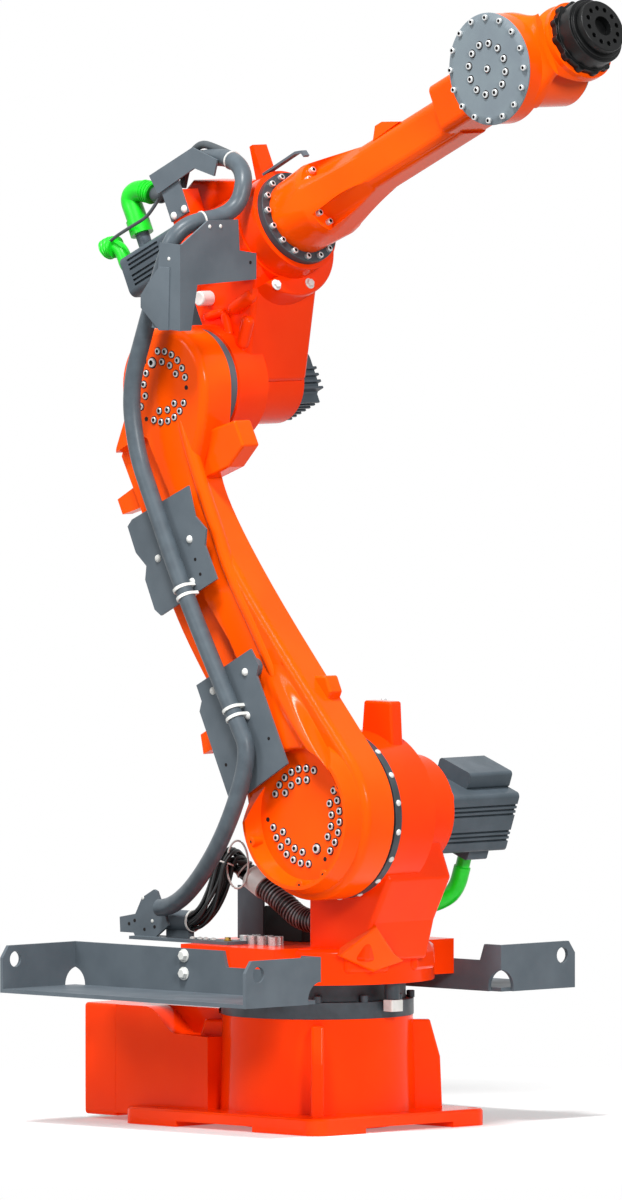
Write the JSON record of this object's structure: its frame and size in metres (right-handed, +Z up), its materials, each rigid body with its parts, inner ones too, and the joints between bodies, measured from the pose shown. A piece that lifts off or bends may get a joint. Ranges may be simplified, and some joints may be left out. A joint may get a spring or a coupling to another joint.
{
  "type": "industrial robot arm",
  "caption": "Floor-standing jointed industrial robot arm with a swivel base, side-mounted lower arm, offset elbow, slim forearm, side-hung wrist, tool flange and a dress hose along the side.",
  "frame": {"origin": "on the floor under the foot, on the axis of the base swivel", "axes": "+X forward over the front of the foot, +Y to the left, +Z up along axis 1"},
  "size_m": [1.7351, 1.17, 2.8493],
  "materials": {
    "black_iron": "satin",
    "black_rubber": "matte",
    "dark_iron": "satin",
    "flange_steel": "satin",
    "green_plastic": "gloss",
    "grey_sheet": "satin",
    "hose_rubber": "satin",
    "motor_grey": "satin",
    "orange_paint": "gloss",
    "white_plastic": "matte"
  },
  "bodies": {
    "base": {"base_casting": "orange_paint", "connector_panel": "green_plastic", "rear_box": "orange_paint", "slew_ring": "dark_iron"},
    "carousel": {"axis_1_bumper": "white_plastic", "axis_1_stop_pin": "dark_iron", "axis_2_gearbox_ring": "dark_iron", "axis_2_motor": "motor_grey", "axis_2_plug": "green_plastic", "cable_box": "black_iron", "cable_bundle": "black_rubber", "cable_collar": "white_plastic", "cable_conduit": "black_rubber", "cable_post": "grey_sheet", "carousel_casting": "orange_paint", "fork_bracket_left": "grey_sheet", "fork_bracket_right": "grey_sheet", "hose_base_span": "hose_rubber", "hose_stand": "grey_sheet", "turntable_ring": "dark_iron"},
    "lower_arm": {"axis_2_output": "dark_iron", "axis_3_output": "dark_iron", "hose_arm_run": "hose_rubber", "hose_clips": "white_plastic", "hose_plate_lower": "grey_sheet", "hose_plate_upper": "grey_sheet", "lower_arm_casting": "orange_paint"},
    "elbow": {"axis_3_gearbox_ring": "dark_iron", "axis_3_motor": "motor_grey", "axis_4_motor": "motor_grey", "axis_4_ring": "dark_iron", "axis_5_motor": "motor_grey", "axis_6_motor": "motor_grey", "breather": "white_plastic", "elbow_casting": "orange_paint", "elbow_plugs": "green_plastic", "elbow_strap": "grey_sheet", "hose_cover": "grey_sheet", "hose_elbow_span": "hose_rubber", "hose_loop": "hose_rubber", "hose_roof": "grey_sheet", "roof_stay": "grey_sheet"},
    "forearm": {"forearm_casting": "orange_paint", "wrist_cover_left": "grey_sheet"},
    "wrist": {"axis_6_gearbox": "black_iron", "wrist_casting": "orange_paint", "wrist_cover": "grey_sheet"},
    "tool_flange": {"tool_flange": "flange_steel"}
  },
  "joints": [
    {"name": "axis_1", "type": "hinge", "parent": "base", "child": "carousel", "pos_m": [0, 0, 0.322], "axis": [0, 0, 1], "range_deg": [-180, 180]},
    {"name": "axis_2", "type": "hinge", "parent": "carousel", "child": "lower_arm", "pos_m": [0.25, 0, 0.799], "axis": [0, 1, 0], "range_deg": [-34, 95], "deforming": ["hose_base_span"]},
    {"name": "axis_3", "type": "hinge", "parent": "lower_arm", "child": "elbow", "pos_m": [-0.26368, 0, 1.85688], "axis": [0, -1, 0], "range_deg": [-70, 85], "deforming": ["hose_elbow_span"]},
    {"name": "axis_4", "type": "hinge", "parent": "elbow", "child": "forearm", "pos_m": [-0.06333, 0, 2.2801], "axis": [0.9041, 0, 0.4274], "range_deg": [-200, 200]},
    {"name": "axis_5", "type": "hinge", "parent": "forearm", "child": "wrist", "pos_m": [0.77295, 0, 2.6754], "axis": [0, -1, 0], "range_deg": [-115, 115]},
    {"name": "axis_6", "type": "hinge", "parent": "wrist", "child": "tool_flange", "pos_m": [1.00259, 0, 2.78395], "axis": [0.9041, 0, 0.4274], "range_deg": [-350, 350]}
  ]
}
